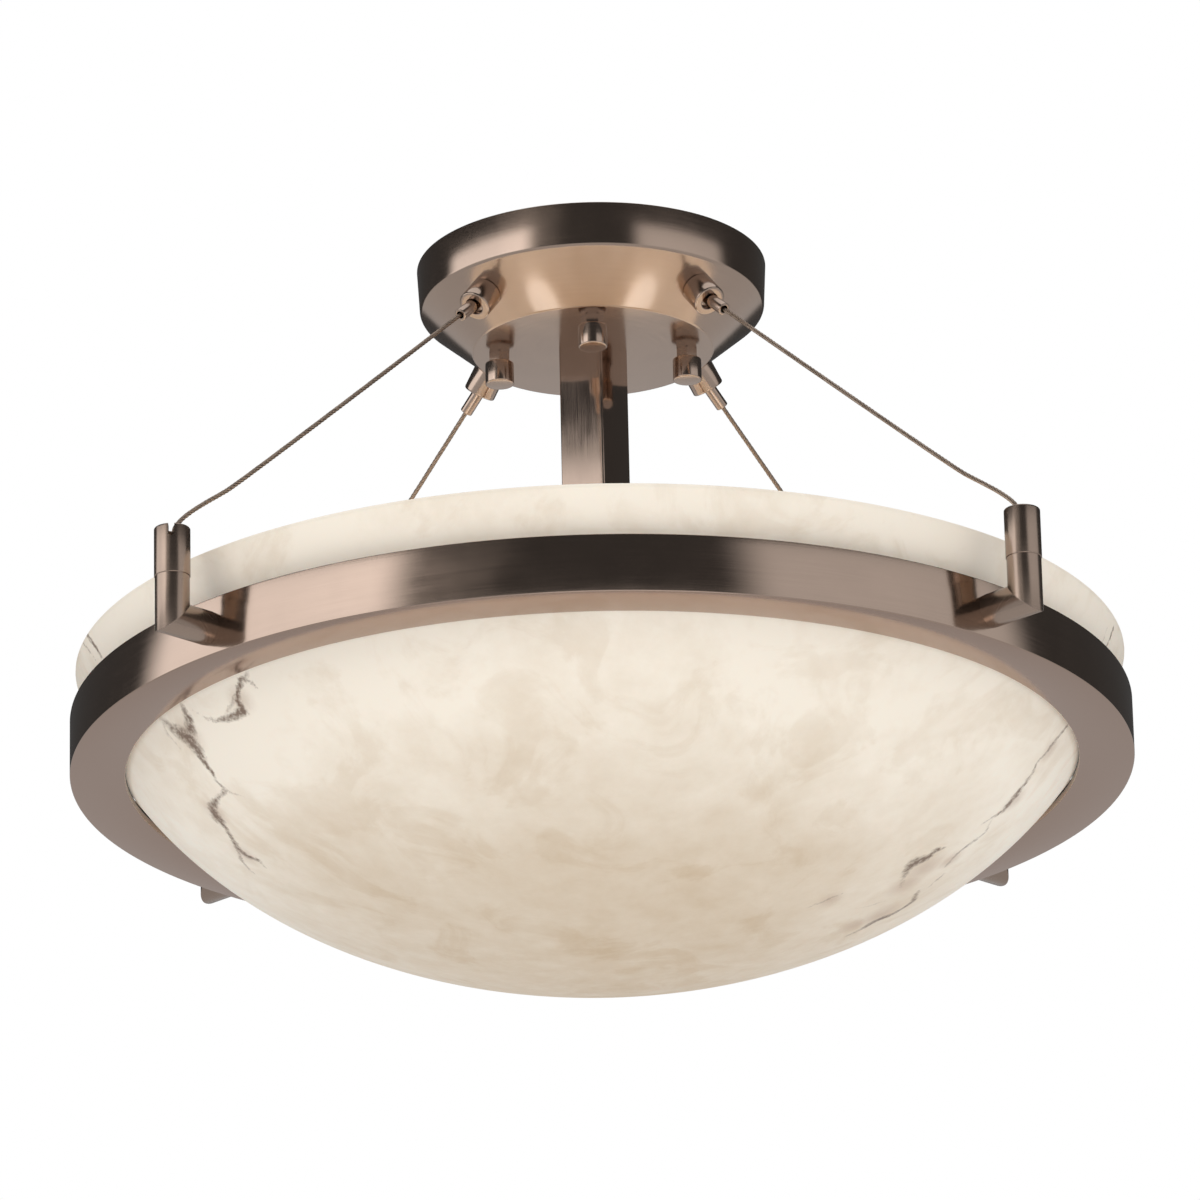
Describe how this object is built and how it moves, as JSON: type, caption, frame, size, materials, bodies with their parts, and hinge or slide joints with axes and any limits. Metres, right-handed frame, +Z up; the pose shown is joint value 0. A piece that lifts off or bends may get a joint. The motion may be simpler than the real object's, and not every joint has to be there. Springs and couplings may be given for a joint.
{
  "type": "semi flush ceiling light",
  "caption": "Semi flush ceiling light: a stone-look bowl in a metal ring, hung by wire ropes from a round canopy, with a square stem and a lamp cluster.",
  "frame": {"origin": "middle of the ceiling plane, where the canopy's rim and the mounting plate's top face meet the ceiling", "axes": "+Z up into the ceiling along the light's axis; -Y towards the picture's camera; the ropes lie at 45 degrees to X and Y"},
  "size_m": [0.4619, 0.462, 0.3234],
  "materials": {
    "brushed_nickel": "brushed warm nickel",
    "wire_rope": "stranded wire rope, warm nickel",
    "ferrule_aluminium": "crimped",
    "stone_look_resin": "translucent cream resin with brown veins",
    "gasket_rubber": "matt",
    "porcelain": "glazed",
    "socket_brass": "drawn",
    "lamp_cap_metal": "rolled thread",
    "lamp_glass": "frosted white",
    "green_screw": "green",
    "hub_enamel": "white enamel",
    "zinc_steel": "zinc plated"
  },
  "bodies": {
    "fixture": {"canopy": "brushed_nickel", "canopy_nuts": "brushed_nickel", "canopy_studs": "zinc_steel", "cap_nuts": "brushed_nickel", "gripper_barrel_front_left": "brushed_nickel", "gripper_barrel_front_right": "brushed_nickel", "gripper_barrel_rear_left": "brushed_nickel", "gripper_barrel_rear_right": "brushed_nickel", "gripper_nuts": "zinc_steel", "gripper_springs": "zinc_steel", "ground_screw": "green_screw", "hub": "hub_enamel", "hub_cover": "hub_enamel", "hub_finial": "hub_enamel", "hub_nipple": "zinc_steel", "hub_nut": "zinc_steel", "lamp_left_base": "lamp_cap_metal", "lamp_left_glass": "lamp_glass", "lamp_left_shell": "socket_brass", "lamp_left_socket": "porcelain", "lamp_rear_base": "lamp_cap_metal", "lamp_rear_glass": "lamp_glass", "lamp_rear_shell": "socket_brass", "lamp_rear_socket": "porcelain", "lamp_right_base": "lamp_cap_metal", "lamp_right_glass": "lamp_glass", "lamp_right_shell": "socket_brass", "lamp_right_socket": "porcelain", "mounting_plate": "zinc_steel", "post_front_left": "brushed_nickel", "post_front_right": "brushed_nickel", "post_rear_left": "brushed_nickel", "post_rear_right": "brushed_nickel", "post_screws": "zinc_steel", "ring": "brushed_nickel", "ring_gasket": "gasket_rubber", "rope_ferrules": "ferrule_aluminium", "rope_front_left": "wire_rope", "rope_front_right": "wire_rope", "rope_rear_left": "wire_rope", "rope_rear_right": "wire_rope", "sleeve_front_left": "brushed_nickel", "sleeve_front_right": "brushed_nickel", "sleeve_rear_left": "brushed_nickel", "sleeve_rear_right": "brushed_nickel", "sleeve_studs": "zinc_steel", "socket_nuts": "zinc_steel", "stem": "brushed_nickel", "stem_bottom_plug": "zinc_steel", "stem_nipple": "zinc_steel", "stem_nut": "zinc_steel", "stem_top_plug": "zinc_steel", "stem_washer": "zinc_steel", "stud_lock_nuts": "zinc_steel"},
    "nozzle_front_left": {"gripper_nozzle_front_left": "brushed_nickel"},
    "nozzle_front_right": {"gripper_nozzle_front_right": "brushed_nickel"},
    "nozzle_rear_right": {"gripper_nozzle_rear_right": "brushed_nickel"},
    "nozzle_rear_left": {"gripper_nozzle_rear_left": "brushed_nickel"},
    "bowl": {"bowl": "stone_look_resin"}
  },
  "joints": [
    {"name": "press_nozzle_front_left", "type": "slide", "parent": "fixture", "child": "nozzle_front_left", "axis": [0.5362, 0.5362, 0.6519], "range_m": [0, 0.002], "stiffness_N_per_m": 500, "springref_m": -0.003},
    {"name": "press_nozzle_front_right", "type": "slide", "parent": "fixture", "child": "nozzle_front_right", "axis": [-0.5362, 0.5362, 0.6519], "range_m": [0, 0.002], "stiffness_N_per_m": 500, "springref_m": -0.003},
    {"name": "press_nozzle_rear_right", "type": "slide", "parent": "fixture", "child": "nozzle_rear_right", "axis": [-0.5362, -0.5362, 0.6519], "range_m": [0, 0.002], "stiffness_N_per_m": 500, "springref_m": -0.003},
    {"name": "press_nozzle_rear_left", "type": "slide", "parent": "fixture", "child": "nozzle_rear_left", "axis": [0.5362, -0.5362, 0.6519], "range_m": [0, 0.002], "stiffness_N_per_m": 500, "springref_m": -0.003},
    {"name": "bowl_lift", "type": "slide", "parent": "fixture", "child": "bowl", "axis": [0, 0, 1], "range_m": [0, 0.018]}
  ]
}
